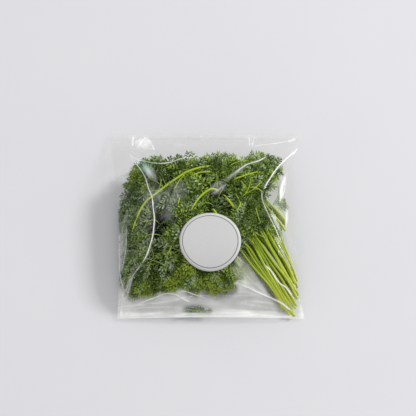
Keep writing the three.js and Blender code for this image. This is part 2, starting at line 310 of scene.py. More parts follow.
def waves(x, y, across, along, seed):
    """Smooth random values from -1 to 1: random numbers on a lattice whose cells measure across by along,
    joined by a cubic step."""
    lattice = np.random.default_rng(seed).uniform(-1, 1, (LATTICE, LATTICE))
    gx, gy = x / across + LATTICE / 2, y / along + LATTICE / 2
    ix, iy = np.floor(gx).astype(int), np.floor(gy).astype(int)
    fx, fy = smooth_step(0, 1, gx - ix), smooth_step(0, 1, gy - iy)
    a, b, c, d = (lattice[(iy + j) % LATTICE, (ix + i) % LATTICE] for j in (0, 1) for i in (0, 1))
    return (a * (1 - fx) + b * fx) * (1 - fy) + (c * (1 - fx) + d * fx) * fy


def in_patches(patches, x, y):
    """1 in the middle of each round patch and 0 beyond it, with a cubic between."""
    most = np.zeros_like(x)
    for px, py, reach in patches:
        away = np.hypot(x - px * MM, y - py * MM) / (reach * MM)
        most = np.maximum(most, smooth_step(1.0, 0.3, away))
    return most


def near_top(y):
    """0 well below the herb's top edge and 1 near it."""
    return smooth_step(25 * MM, 38 * MM, y)


def closed(outline):
    """The corners of an outline in metres, and the first again at the end."""
    return np.array(outline + outline[:1], float) * MM


def inside(outline, x, y):
    """True where a line drawn to the right from (x, y) crosses the closed outline an odd number of times."""
    (x1, y1), (x2, y2) = outline[:-1].T, outline[1:].T
    x, y = np.asarray(x)[..., None], np.asarray(y)[..., None]
    spans = (y1 > y) != (y2 > y)
    crossing = x1 + (y - y1) * (x2 - x1) / np.where(y2 == y1, 1, y2 - y1)
    return np.sum(spans & (x < crossing), axis=-1) % 2 == 1


def distance_to(line, x, y):
    """How far (x, y) is from the nearest stretch of the line, and the share of the line at that place."""
    start, step = line[:-1], np.diff(line, axis=0)
    px, py = x[:, None] - start[:, 0], y[:, None] - start[:, 1]
    t = np.clip((px * step[:, 0] + py * step[:, 1]) / (step**2).sum(axis=1), 0, 1)
    away = np.hypot(px - t * step[:, 0], py - t * step[:, 1])
    nearest = away.argmin(axis=1)
    rows = np.arange(len(x))
    return away[rows, nearest], (nearest + t[rows, nearest]) / len(step)


def side_of(line, x, y):
    """1 to the left of the line and -1 to the right of it, by the stretch whose middle is nearest."""
    start, step = line[:-1], np.diff(line, axis=0)
    middle = start + step / 2
    nearest = np.hypot(x[:, None] - middle[:, 0], y[:, None] - middle[:, 1]).argmin(axis=1)
    px, py = x - start[nearest, 0], y - start[nearest, 1]
    return np.where(step[nearest, 0] * py > step[nearest, 1] * px, 1, -1)


# ---- The bag's two surfaces ----
class Bag:
    """The surfaces of the filled bag. u runs from -1 at the left edge to 1 at the right edge, and v from the
    bottom seam to the top seam."""

    def __init__(self, sizes):
        self.sizes = sizes
        _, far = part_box("front_film")
        self.half_width, self.half_length = far.x, far.y
        low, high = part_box("label")
        self.label_middle, self.label_radius, self.label_top = (low + high) / 2, (high.x - low.x) / 2, high.z
        self.left = curve_through(LEFT_EDGE, 120) * MM
        self.right = curve_through(RIGHT_EDGE, 120) * MM

    def edges(self, y):
        """x of the left edge and of the right edge at y."""
        return np.interp(y, *self.left.T), np.interp(y, *self.right.T)

    def place(self, u, v):
        """x and y at (u, v): y is in proportion to v, and u runs evenly from edge to edge."""
        y = v * self.half_length
        left, right = self.edges(y)
        return left + (right - left) * (u + 1) / 2, y

    def across(self, x, y):
        """u and v at (x, y)."""
        left, right = self.edges(y)
        return 2 * (x - left) / (right - left) - 1, y / self.half_length

    def bulge(self, u, v):
        """1 over the middle of the bag and 0 on the flat edges. Across the bag it is the root of a power
        curve, as steep as a round edge, and along it a plain power curve, as flat as a flap."""
        s = self.sizes
        across = np.minimum(1, np.abs(u) / (1 - s.side_fold / self.half_width))
        along = np.minimum(1, np.abs(v) / (1 - s.end_seam / self.half_length))
        return np.sqrt(1 - across**s.side_power) * (1 - along**s.end_power)

    def seam(self, u, v):
        """The height of the flat edge: lowest at the corners, highest at the middle of each side."""
        s = self.sizes
        return s.corner_lift + s.side_lift * (1 - v * v) + s.end_lift * (1 - u * u)

    def back(self, u, v):
        """The seam's height, brought down by the bulge until it lies on the floor."""
        return np.maximum(0, self.seam(u, v) * (1 - self.sizes.back_press * self.bulge(u, v)))

    def front(self, u, v):
        """The seam's height, raised by the bulge until it meets the label's underside."""
        seam = self.seam(u, v) + self.sizes.film_gap
        top = self.label_top - self.sizes.label_thickness - FILM_CLEARANCE
        return seam + self.bulge(u, v) * (top - seam)

    def between(self, x, y, share):
        """The height at a share of the way up from the back film to the front film."""
        u, v = self.across(x, y)
        back = self.back(u, v)
        return back + (self.front(u, v) - back) * share

    def hold(self, points, margin):
        """The points, kept at least the margin inside the two films."""
        u, v = self.across(points[..., 0], points[..., 1])
        low, high = self.back(u, v) + margin, self.front(u, v) - margin
        middle = (low + high) / 2
        held = points.copy()
        held[..., 2] = np.clip(points[..., 2], np.minimum(low, middle), np.maximum(high, middle))
        left, right = self.edges(points[..., 1])
        held[..., 0] = np.clip(points[..., 0], left + margin, right - margin)
        return held


# ---- Meshes ----
def make_piece(name, points, faces, material, stands_for, uv=None, attributes=None):
    """A smooth mesh object that rides on the bag's body and stands for the named node."""
    mesh = bpy.data.meshes.new(name)
    faces = np.asarray(faces, np.int32)
    mesh.vertices.add(len(points))
    mesh.vertices.foreach_set("co", np.asarray(points, np.float32).ravel())
    mesh.loops.add(faces.size)
    mesh.loops.foreach_set("vertex_index", faces.ravel())
    mesh.polygons.add(len(faces))
    mesh.polygons.foreach_set("loop_start", np.arange(0, faces.size, faces.shape[1], dtype=np.int32))
    mesh.polygons.foreach_set("use_smooth", np.ones(len(faces), bool))
    mesh.update(calc_edges=True)
    if uv is not None:
        layer = mesh.uv_layers.new(name="UVMap")
        layer.data.foreach_set("uv", np.asarray(uv, np.float32)[faces.ravel()].ravel())
    for key, values in (attributes or {}).items():
        held = mesh.attributes.new(key, "FLOAT", "POINT")
        held.data.foreach_set("value", np.asarray(values, np.float32).ravel())
    mesh.materials.append(material)
    piece = bpy.data.objects.new(name, mesh)
    bpy.context.scene.collection.objects.link(piece)
    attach(piece, BODY)
    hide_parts(stands_for)
    return piece


def grid_of(across, along):
    """The places of a grid, row by row."""
    return (axis.ravel() for axis in np.meshgrid(across, along))


def grid_faces(rows, columns):
    """The quads of a grid of points stored row by row, turning anticlockwise from above."""
    corner = np.arange(rows * columns).reshape(rows, columns)
    quads = [corner[:-1, :-1], corner[:-1, 1:], corner[1:, 1:], corner[1:, :-1]]
    return np.stack(quads, axis=-1).reshape(-1, 4)


def repeated(triangles, each, count):
    """The triangles of a shape of each points, for count such shapes stored one after another."""
    return (triangles + each * np.arange(count)[:, None, None]).reshape(-1, 3)


def tubes(paths, radii, sides):
    """Closed round tubes along many paths at once. A ring of points lies across the path at each step, and a
    point at each end closes it. Gives points, triangles and, for each point, its way round and along."""
    count, steps, _ = paths.shape
    forward = np.gradient(paths, axis=1)
    forward /= np.linalg.norm(forward, axis=-1, keepdims=True) + TINY
    side = np.cross([0, 0, 1.0], forward)
    side /= np.linalg.norm(side, axis=-1, keepdims=True) + TINY
    over = np.cross(forward, side)
    turn = np.linspace(0, 2 * math.pi, sides, endpoint=False)
    ring = np.cos(turn)[:, None] * side[:, :, None] + np.sin(turn)[:, None] * over[:, :, None]
    rings = paths[:, :, None] + radii[:, None, None] * ring
    points = np.concatenate([rings.reshape(count, -1, 3), paths[:, :1], paths[:, -1:]], axis=1)
    a = np.arange((steps - 1) * sides)
    b = a // sides * sides + (a + 1) % sides
    start, end = steps * sides, steps * sides + 1
    i = np.arange(sides)
    j = (i + 1) % sides
    last = (steps - 1) * sides
    triangles = np.concatenate([
        np.stack([a, b, b + sides], axis=1),
        np.stack([a, b + sides, a + sides], axis=1),
        np.stack([np.full(sides, start), j, i], axis=1),
        np.stack([np.full(sides, end), last + i, last + j], axis=1),
    ])
    around = np.concatenate([np.tile(i / sides, steps), [0.5, 0.5]])
    along = np.concatenate([np.repeat(np.linspace(0, 1, steps), sides), [0, 1]])
    uv = np.tile(np.stack([around, along], axis=1), (count, 1))
    return points.reshape(-1, 3), repeated(triangles, end + 1, count), uv


def join(parts):
    """Several meshes as one: each part is its points, its triangles and any values it has for each point."""
    shift, points, triangles, values = 0, [], [], []
    for part in parts:
        points.append(part[0])
        triangles.append(part[1] + shift)
        values.append(part[2:])
        shift += len(part[0])
    return [np.concatenate(points), np.concatenate(triangles)] + [np.concatenate(v) for v in zip(*values)]


# ---- Materials ----
def put(tree, value, socket):
    """Join another node's output to the socket, or set the socket to a number or a colour."""
    if isinstance(value, bpy.types.NodeSocket):
        tree.links.new(value, socket)
    elif socket.type == "RGBA":
        socket.default_value = (*value[:3], 1)
    else:
        socket.default_value = value


def add(tree, kind, inputs=None, **settings):
    """A new node with its settings and its inputs."""
    node = tree.nodes.new(kind)
    for key, value in settings.items():
        setattr(node, key, value)
    for key, value in (inputs or {}).items():
        put(tree, value, node.inputs[key])
    return node


def maths(tree, operation, *values, clamp=False):
    """One sum on the values."""
    inputs = dict(enumerate(values))
    return add(tree, "ShaderNodeMath", inputs, operation=operation, use_clamp=clamp).outputs[0]


def fit(tree, value, low, high, to_low=0.0, to_high=1.0):
    """The value carried from one range to another, held inside it."""
    ranges = {"Value": value, "From Min": low, "From Max": high, "To Min": to_low, "To Max": to_high}
    return add(tree, "ShaderNodeMapRange", ranges).outputs["Result"]


def attribute(tree, name):
    """A value that the mesh holds for each point."""
    return add(tree, "ShaderNodeAttribute", attribute_name=name).outputs["Fac"]


def noise(tree, scale, detail, roughness=0.5):
    """Noise that is fixed to the piece."""
    place = add(tree, "ShaderNodeTexCoord").outputs["Object"]
    inputs = {"Vector": place, "Scale": scale, "Detail": detail, "Roughness": roughness}
    return add(tree, "ShaderNodeTexNoise", inputs).outputs["Fac"]


def mix(tree, share, a, b):
    """A colour between a and b."""
    return add(tree, "ShaderNodeMix", {0: share, 6: a, 7: b}, data_type="RGBA").outputs[2]


def blend(tree, share, a, b):
    """A shader between a and b."""
    return add(tree, "ShaderNodeMixShader", {0: share, 1: a, 2: b}).outputs[0]


def relief(tree, height, strength, depth):
    """The normal of a surface that stands up by the height, times the depth."""
    inputs = {"Height": height, "Strength": strength, "Distance": depth}
    return add(tree, "ShaderNodeBump", inputs).outputs["Normal"]


def mottle_group():
    """Uneven colour and a fine relief, from two sizes of noise on the piece."""
    name = "Mottle"
    if name in bpy.data.node_groups:
        return bpy.data.node_groups[name]
    tree = bpy.data.node_groups.new(name, "ShaderNodeTree")
    for way, kind, *sockets in (
        ("INPUT", "NodeSocketColor", "Colour", "Shade"),
        ("INPUT", "NodeSocketFloat", "Amount", "Scale"),
        ("OUTPUT", "NodeSocketColor", "Colour"),
        ("OUTPUT", "NodeSocketFloat", "Mask", "Height"),
    ):
        for socket in sockets:
            tree.interface.new_socket(socket, in_out=way, socket_type=kind)
    given = add(tree, "NodeGroupInput").outputs
    mask = fit(tree, noise(tree, given["Scale"], 3.0, 0.6), 0.35, 0.65)
    colour = mix(tree, maths(tree, "MULTIPLY", mask, given["Amount"]), given["Colour"], given["Shade"])
    fine = noise(tree, maths(tree, "MULTIPLY", given["Scale"], 5.0), 2.0)
    add(tree, "NodeGroupOutput", {"Colour": colour, "Mask": mask, "Height": fine})
    return tree


def mottle(tree, colour, shade, amount, scale):
    """The group's mottled colour, its mask and its height."""
    inputs = {"Colour": colour, "Shade": shade, "Amount": amount, "Scale": scale}
    return add(tree, "ShaderNodeGroup", inputs, node_tree=mottle_group()).outputs


def principled(tree, colour, roughness, **more):
    """A Principled shader. The other inputs are named with lines for spaces."""
    inputs = {"Base Color": colour, "Roughness": roughness}
    inputs.update((key.replace("_", " "), value) for key, value in more.items())
    return add(tree, "ShaderNodeBsdfPrincipled", inputs).outputs["BSDF"]


def leaf_finish(tree, colours):
    """Fresh leaf: each leaflet has its own green. Painted light makes the lit patches lighter and yellower,
    and painted shade darkens and dulls the leaflets under others or deep in the bunch. Some show their paler
    underside. A lobe is painted darker at its base, as shade where the lobes meet, and a pale rib runs along
    each leaflet."""
    tint, painted_light, shade, rib, out, turned = (attribute(tree, key) for key in LEAF_VALUES)
    green = mix(tree, tint, colours.leaf_dark, colours.leaf_light)
    # Painted light in the lit patches, painted shade at the lobe bases and under the canopy; the underside and
    # the rib are the leaf's own colours.
    for share, colour in (
        (painted_light, colours.leaf_young),
        (fit(tree, turned, 0.0, 1.0, 0.0, 0.7), colours.leaf_under),
        (fit(tree, rib, 0.7, 1.0, 0.0, 0.25), colours.stem_light),
        (fit(tree, out, 0.0, 0.8, 0.65, 0.0), colours.leaf_deep),
        (shade, colours.leaf_deep),
    ):
        green = mix(tree, share, green, colour)
    mottled = mottle(tree, green, colours.leaf_deep, 0.3, 260.0)
    open_leaf, deep_leaf = fit(tree, mottled["Mask"], 0, 1, 0.35, 0.5), fit(tree, shade, 0.0, 1.0, 0.0, 0.9)
    return principled(tree, mottled["Colour"], maths(tree, "MAXIMUM", open_leaf, deep_leaf),
                      Specular_IOR_Level=0.15, Specular_Tint=colours.leaf_sheen,
                      Normal=relief(tree, mottled["Height"], 0.3, 0.3 * MM))


def stem_finish(tree, colours):
    """Fresh stalk: pale at the cut end and darker towards the leaf, with painted shade where it lies under the
    leaf, and fine ribs along it: a cosine of the way round."""
    age, tint, shade = (attribute(tree, key) for key in STEM_VALUES)
    place = add(tree, "ShaderNodeUVMap", uv_map="UVMap").outputs["UV"]
    around = add(tree, "ShaderNodeSeparateXYZ", {"Vector": place}).outputs["X"]
    ribs = maths(tree, "COSINE", maths(tree, "MULTIPLY", around, 2 * math.pi * STEM_RIBS))
    green = mix(tree, tint, colours.stem_dark, colours.stem_light)
    for share, colour in (
        (fit(tree, age, 0.0, 0.25, 1.0, 0.0), colours.stem_cut),
        (fit(tree, age, 0.35, 0.8), colours.leaf_light),
        (fit(tree, ribs, -1, 1, 0.0, 0.3), colours.stem_dark),
        # Painted shade where the stalk lies under the leaf.
        (fit(tree, shade, 0.0, 1.0, 0.0, 0.5), colours.leaf_deep),
    ):
        green = mix(tree, share, green, colour)
    mottled = mottle(tree, green, colours.stem_dark, 0.25, 180.0)
    height = maths(tree, "ADD", ribs, mottled["Height"])
    return principled(tree, mottled["Colour"], fit(tree, mottled["Mask"], 0, 1, 0.3, 0.45),
                      Specular_IOR_Level=0.25, Normal=relief(tree, height, 0.3, 0.3 * MM))


def film_finish(tree, colours):
    """Clear film: mostly see-through, with a sharp gloss that grows at a slant, and a painted highlight and
    reflection: a lit milky white on the creases, partly the real whitening of creased film, and in patches. It
    stops little light, so it casts hardly any shadow."""
    crease, side, film_glare, cast, cool = (attribute(tree, key) for key in FILM_VALUES)
    normal = relief(tree, noise(tree, 330.0, 2.0), 0.2, 0.4 * MM)
    clear = add(tree, "ShaderNodeBsdfTransparent", {"Color": colours.film}).outputs[0]
    gloss = add(tree, "ShaderNodeBsdfGlossy", {"Roughness": 0.08, "Normal": normal}).outputs[0]
    facing = add(tree, "ShaderNodeLayerWeight", {"Blend": 0.5, "Normal": normal}).outputs["Facing"]
    shine = maths(tree, "MULTIPLY_ADD", maths(tree, "POWER", facing, 5.0), 0.6, 0.004)
    # Painted reflection in patches, and the painted highlight along the creases.
    cloud = maths(tree, "MULTIPLY", film_glare, fit(tree, noise(tree, 60.0, 1.0), 0.35, 0.7, 0.6, 1.0))
    crease_glare = maths(tree, "MULTIPLY", crease, fit(tree, maths(tree, "ABSOLUTE", side), 0.3, 1.1, 1.0, 0.15))
    path = add(tree, "ShaderNodeLightPath").outputs
    lighting = maths(tree, "MAXIMUM", path["Is Shadow Ray"], path["Is Diffuse Ray"])
    glare_share = maths(tree, "MAXIMUM", crease_glare, cloud)
    glare = maths(tree, "MULTIPLY", glare_share, fit(tree, lighting, 0.0, 1.0, 1.0, 0.2), clamp=True)
    milky = mix(tree, cool, mix(tree, cast, colours.glare, colours.glare_green), colours.glare_cool)
    return blend(tree, glare, blend(tree, shine, clear, gloss), principled(tree, milky, 0.3))


def paper_finish(tree, colours):
    """Uncoated white paper with a thin printed ring near its rim."""
    away = maths(tree, "ABSOLUTE", maths(tree, "SUBTRACT", attribute(tree, "rim"), RING_PLACE))
    mottled = mottle(tree, colours.paper, colours.paper_shade, 0.6, 900.0)
    printed = mix(tree, fit(tree, away, 0.010, 0.016, 0.9, 0.0), mottled["Colour"], colours.ink)
    return principled(tree, printed, fit(tree, mottled["Mask"], 0, 1, 0.6, 0.75),
                      Normal=relief(tree, mottled["Height"], 0.2, 0.2 * MM))


def floor_finish(tree, colours):
    """A pale floor with a faint cloud."""
    return principled(tree, mottle(tree, colours.floor, colours.floor_shade, 0.5, 9.0)["Colour"], 0.5)


FINISHES = {
    "chervil_leaf": leaf_finish,
    "chervil_stem": stem_finish,
    "clear_film": film_finish,
    "plain_paper": paper_finish,
    "pale_floor": floor_finish,
}


def finish(name):
    """The material of that name, made when it is first asked for."""
    material = bpy.data.materials.get(name)
    if material is None:
        material = bpy.data.materials.new(name)
        material.use_nodes = True
        tree = material.node_tree
        tree.nodes.clear()
        shader = FINISHES[name](tree, bpy.context.scene.chervil_colours)
        add(tree, "ShaderNodeOutputMaterial", {"Surface": shader})
    return material


# ---- The films ----
def crease_relief(x, y):
    """How far each crease lifts the film at (x, y), how strong the crease's painted highlight is there, and
    how far to one side of the nearest crease it is, in crease widths: above zero at its left and below zero at
    its right. A crease is a bell curve across its route, and fades at its two ends."""
    lift, strength, side = np.zeros_like(x), np.zeros_like(x), np.full_like(x, FAR_ASIDE)
    for number, (route, high, wide, white) in enumerate(CREASES):
        line, wide = curve_through(route, 40) * MM, wide * MM
        low, top = line.min(axis=0) - 4 * wide, line.max(axis=0) + 4 * wide
        near = np.flatnonzero((x > low[0]) & (x < top[0]) & (y > low[1]) & (y < top[1]))
        away, share = distance_to(line, x[near], y[near])
        tapered = smooth_step(0, 0.15, np.minimum(share, 1 - share))
        broken = 0.8 + 0.3 * waves(x[near], y[near], 5 * MM, 5 * MM, 50 + number)
        lift[near] = np.maximum(lift[near], high * MM * tapered * np.exp(-((away / CREASE_FOOT) ** 2)))
        halo = white * broken * tapered * np.exp(-((away / (2 * wide)) ** 2))
        aside = np.clip(away / wide, 0, FAR_ASIDE) * side_of(line, x[near], y[near])
        side[near] = np.where(halo > strength[near], aside, side[near])
        strength[near] = np.maximum(strength[near], halo)
    return lift, strength, side


def film_glare_over(x, y):
    """How much painted reflection the film gets: most in the middle of each patch, with streaks along it."""
    film_glare = np.zeros_like(x)
    for number, (px, py, long, wide, turn, strength) in enumerate(FILM_GLARE_PATCHES):
        c, q = math.cos(math.radians(turn)), math.sin(math.radians(turn))
        dx, dy = x - px * MM, y - py * MM
        along, across = dx * c + dy * q, dy * c - dx * q
        away = np.hypot(along / (long * MM), across / (wide * MM))
        streaks = 0.65 + 0.5 * waves(along, across, long / 1.5 * MM, max(0.9, wide / 4) * MM, 80 + number)
        film_glare = np.maximum(film_glare, strength * smooth_step(1.0, 0.2, away) * np.clip(streaks, 0, 1))
    return film_glare


def beyond_herb(x, y):
    """1 where no leaf or stalk lies under the film, and 0 over them, with a cubic between. It is low over the
    scrap too, in a patch that is wider than tall."""
    over = np.zeros(len(x), bool)
    away = np.full(len(x), np.inf)
    for outline in (HERB_OUTLINE, BUNDLE_OUTLINE):
        over |= inside(closed(outline), x, y)
        away = np.minimum(away, distance_to(closed(outline), x, y)[0])
    beyond = smooth_step(-1 * MM, 4 * MM, np.where(over, -away, away))
    middle = SCRAP_PATCH[1] * MM
    return beyond * (1 - 0.8 * in_patches([SCRAP_PATCH], x, middle + SCRAP_FLATNESS * (y - middle)))


def glints(x, y):
    """Painted glints: short pale streaks where the film clings to the leaf, the crests of a fine warped wave,
    in patches, and strongest at the left."""
    bent = x + 3 * MM * waves(x, y, 9 * MM, 9 * MM, 61)
    crest = smooth_step(0.78, 1.0, 1 - np.abs(waves(bent, y, 3.5 * MM, 8 * MM, 62)))
    patch = smooth_step(0.0, 0.6, waves(x, y, 7 * MM, 9 * MM, 63))
    strength = 0.02 + 0.18 * smooth_step(20 * MM, -40 * MM, x)
    return crest * patch * strength * smooth_step(-65 * MM, -45 * MM, y)


def flap_relief(x, y, v):
    """Wrinkles of the flat film at the two ends, and the painted highlight on their crests. They are
    sharp-topped waves: upright ones at the top seam, and at the bottom seam level ones that wander a little."""
    ends = smooth_step(0.62, 0.9, np.abs(v))
    upright = 1 - np.abs(waves(x, y, 3.2 * MM, 26 * MM, 11)) ** 0.6
    wander = 2 * MM * waves(x, y, 30 * MM, 30 * MM, 13)
    level = 1 - np.abs(waves(x, y + wander, 60 * MM, 2.4 * MM, 12)) ** 0.6
    top, bottom = ends * (v > 0) * upright, ends * (v < 0) * level
    return (0.55 * top + 0.8 * bottom) * MM, 0.12 * top**2 + 0.7 * bottom**4


def off_edges(u, v):
    """0 at the bag's edge and 1 a little way in from it."""
    return smooth_step(1.0, 0.9, np.maximum(np.abs(u), np.abs(v)))


def back_relief(bag, u, v, x, y):
    """The back film's height: the bag's back surface, with slow waves where it is clear of the floor."""
    low = bag.back(u, v)
    slow = 0.5 * waves(x, y, 13 * MM, 12 * MM, 21) + 0.25 * waves(x, y, 5 * MM, 6 * MM, 22)
    return low + off_edges(u, v) * np.minimum(low, 0.8 * MM) * slow


def front_film_surface(bag, u, v, x, y):
    """The front film: the bag's front surface, with slow waves, wrinkles and creases added, and flat under
    the label. It stays clear of the back film. Gives its height and the values that its finish needs."""
    off_label = np.hypot(x - bag.label_middle.x, y - bag.label_middle.y) / bag.label_radius
    flat, clear = smooth_step(1.0, 1.25, off_label), smooth_step(1.0, 1.06, off_label)
    slow = 0.35 * waves(x, y, 14 * MM, 11 * MM, 5) + 0.18 * waves(x, y, 6 * MM, 7 * MM, 6)
    fine = 0.07 * waves(x, y, 2.6 * MM, 2.6 * MM, 7)
    lift, strength, side = crease_relief(x, y)
    wrinkles, crests = flap_relief(x, y, v)
    raised = off_edges(u, v) * ((slow + fine) * MM + wrinkles) + smooth_step(1.0, 0.97, np.abs(u)) * lift
    z = np.maximum(bag.front(u, v) + raised * flat, back_relief(bag, u, v, x, y) + bag.sizes.film_gap)
    loose, cast, cool = beyond_herb(x, y), in_patches(CAST_PATCHES, x, y), in_patches(COOL_PATCHES, x, y)
    # Painted light: a highlight on the wrinkle crests, a lit milky glare over the empty film, and green light
    # thrown by the leaf.
    empty_glare = 0.03 + 0.07 * smooth_step(55 * MM, 30 * MM, y) + 0.6 * smooth_step(-50 * MM, -68 * MM, y)
    glare = crests * (0.2 + 0.8 * loose) + loose * empty_glare
    film_glare = np.maximum(film_glare_over(x, y), glare) + glints(x, y) + 0.2 * loose * cast
    return z, (strength * flat, side, film_glare * clear, cast, cool)


def back_film_surface(bag, u, v, x, y):
    """The back film. Its wrinkles are only a painted highlight. Gives its height and the values that its
    finish needs.
    """
    _, crests = flap_relief(x, y, -v)
    none = np.zeros_like(x)
    return back_relief(bag, u, v, x, y), (none, np.full_like(x, FAR_ASIDE), 0.3 * crests, none, none)


# ---- The herb ----
def blade():
    """A leaflet lying along x, one unit long: three pairs of lobes swept forwards, a lobe at the tip and a
    rib under them. Each lobe is a narrow pointed leaf shape, fanned from its base. Gives its points, its
    triangles, how near each point is to the rib, and how far out along its lobe it is."""
    pairs = ((0.05, 62, 0.46), (0.34, 50, 0.5), (0.62, 40, 0.38))
    lobes = [(at, hand * turn, length) for at, turn, length in pairs for hand in (1, -1)] + [(0.72, 0, 0.42)]
    at, turn, length = np.array(lobes).T[..., None]
    along, across = np.array([(0, 0), (0.35, -0.055), (0.7, -0.07), (1, 0), (0.7, 0.07), (0.35, 0.055)]).T
    c, q = np.cos(np.radians(turn)), np.sin(np.radians(turn))
    x, y = at + along * length * c - across * q, along * length * q + across * c
    rib = np.array([(0, -0.03), (0.8, -0.02), (0.8, 0.02), (0, 0.03)])
    points = np.concatenate([np.stack([x, y], axis=-1).reshape(-1, 2), rib])
    fan = np.array([(0, k, k + 1) for k in range(1, len(along) - 1)])
    triangles = np.concatenate([repeated(fan, len(along), len(lobes)), x.size + fan[:len(rib) - 2]])
    out = np.append(np.tile(along, len(lobes)), np.zeros(len(rib)))
    return points, triangles, (out == 0).astype(float), out


def frond_plan(herb):
    """A frond one unit long, drawn flat along x: pairs of side branches, longest near the base, that carry
    pairs of leaflets. Gives each leaflet's place, heading and size, and each branch's four points."""
    leaflets, branches = [], []
    for pair in range(herb.branch_pairs):
        along = pair / herb.branch_pairs
        for side in (1, -1):
            heading, lean = side * math.radians(60 - 14 * along), -0.35 * side
            length = 0.5 * (1 - 0.86 * along)
            steps = way_of(heading + lean * np.linspace(0, 1, 4)) * length / 3
            base = np.array([0.14 + 0.78 * along + 0.02 * side, 0])
            line = base + np.vstack([[0, 0], np.cumsum(steps[:-1], axis=0)])
            branches.append(line)
            count = max(1, int(round(length / herb.leaflet_step)))
            for k in range(count):
                at = (k + 0.5) / (count + 0.2)
                size = (1 - 0.3 * at) * (1 - 0.3 * along)
                for turn in (LEAFLET_TURN, -LEAFLET_TURN):
                    leaflets.append((*share_of(line, at), heading + lean * at + turn, size))
            leaflets.append((*line[-1], heading + lean, 1 - 0.25 * along))
    leaflets += [(0.80, 0, hand * math.radians(50), 0.7) for hand in (1, -1)] + [(0.86, 0, 0, 0.9)]
    return np.array(leaflets), np.array(branches)


def way_of(heading):
    """The way that a heading points, in plan."""
    return np.stack([np.cos(heading), np.sin(heading)], axis=-1)


def fan_route(share, rng):
    """The route of the sprig that crosses the guide lines at this share of their length. The stalks are cut
    unevenly and cross each other a little on their way to the leaf."""
    shares = np.clip(share + np.array(GUIDE_STRAY) * rng.uniform(-1, 1, len(GUIDES)), 0, 1)
    route = np.array([share_of(curve_through(guide, 60), at) for guide, at in zip(GUIDES, shares)])
    route[0] += (route[1] - route[0]) * rng.uniform(0, 0.12)
    middle = (route[0] + route[1]) / 2 + rng.uniform(-1, 1, 2)
    return np.insert(route, 1, middle, axis=0) * MM


def per_frond(values, flat):
    """A value for each frond, shaped to meet every point of the flat frond."""
    return values.reshape((-1,) + (1,) * (flat.ndim - 1))


class Fronds:
    """Many fronds: where each starts, how it heads, how long, bent and wide it is, how deep it lies under
    the front film, how light it is, how much its sides hang down, and whether it is at the herb's edge or
    astray."""

    def __init__(self, rng, tips, heading, length, depths):
        count = len(tips)
        self.start = tips - length[:, None] * way_of(heading)
        self.heading, self.length = heading, length
        self.bend = rng.uniform(-0.5, 0.5, count)
        self.width = np.ones(count)
        self.stray = np.zeros(count, bool)
        self.edge = np.zeros(count, bool)
        self.depth = rng.uniform(depths[0] * MM, depths[1] * MM, count)
        self.tint = rng.uniform(0, 1, count)
        self.arch = rng.uniform(0.0, 0.5, count)

    def chosen(self, keep):
        """Only the fronds to keep."""
        some = object.__new__(Fronds)
        for key, value in vars(self).items():
            setattr(some, key, value[keep])
        return some

    def joined(self, other):
        """These fronds, then the other ones."""
        both = object.__new__(Fronds)
        for key, value in vars(self).items():
            setattr(both, key, np.concatenate([value, getattr(other, key)]))
        return both

    def behind(self):
        """The place a little way behind each frond's start."""
        return self.start - FROND_TAIL * way_of(self.heading)

    def points(self, bag, flat):
        """Points of the flat frond, carried on to every frond. In plan it is bent to one side by a parabola,
        turned, moved and leant. It lies at its depth under the front film, but it is arched, so its sides
        and its tip hang down."""
        t, s = flat[..., 0], flat[..., 1]
        bend, length, width, heading, arch, depth = (per_frond(values, flat) for values in (
            self.bend, self.length, self.width, self.heading, self.arch, self.depth))
        sunk = depth + arch * length * (0.5 * np.abs(s) + 0.12 * t * t)
        aside = s * width + 0.5 * bend * t * (t - 1)
        c, q = np.cos(heading), np.sin(heading)
        x = per_frond(self.start[:, 0], flat) + length * (t * c - aside * q)
        y = per_frond(self.start[:, 1], flat) + length * (t * q + aside * c) + HERB_LEAN * sunk
        return np.stack([x, y, bag.front(*bag.across(x, y)) - sunk], axis=-1)


def outline_line(count):
    """The herb's outline as evenly spaced places, and the way out of it at each."""
    corners = closed(HERB_OUTLINE)
    length = np.concatenate([[0], np.cumsum(np.hypot(*np.diff(corners, axis=0).T))])
    where = np.linspace(0, length[-1], count, endpoint=False)
    line = np.stack([np.interp(where, length, axis) for axis in corners.T], axis=1)
    along = np.roll(line, -2, axis=0) - np.roll(line, 2, axis=0)
    return line, np.arctan2(along[:, 0], -along[:, 1])


def from_heart(x, y):
    """The heading from the herb's heart to (x, y)."""
    return np.arctan2(y - HEART[1] * MM, x - HEART[0] * MM)


def scattered_fronds(rng, herb, spacing, inset, depths, grown):
    """Fronds whose tips lie on a jittered grid inside the herb's outline, and that head away from its heart.
    At the top they stop further from the edge."""
    outline = closed(HERB_OUTLINE)
    (left, bottom), (right, top) = outline.min(axis=0), outline.max(axis=0)
    spacing = spacing * MM
    x, y = grid_of(np.arange(left, right, spacing), np.arange(bottom, top, spacing))
    x, y = x + rng.uniform(0, spacing, len(x)), y + rng.uniform(0, spacing, len(y))
    line, _ = outline_line(240)
    away = np.hypot(x[:, None] - line[:, 0], y[:, None] - line[:, 1]).min(axis=1)
    keep = inside(outline, x, y) & (away > (inset + 6 * near_top(y)) * MM)
    x, y = x[keep], y[keep]
    heading = from_heart(x, y) + rng.normal(0, 0.5, len(x))
    length = herb.frond_length * grown * rng.uniform(0.8, 1.15, len(x))
    return Fronds(rng, np.stack([x, y], axis=1), heading, length, depths)


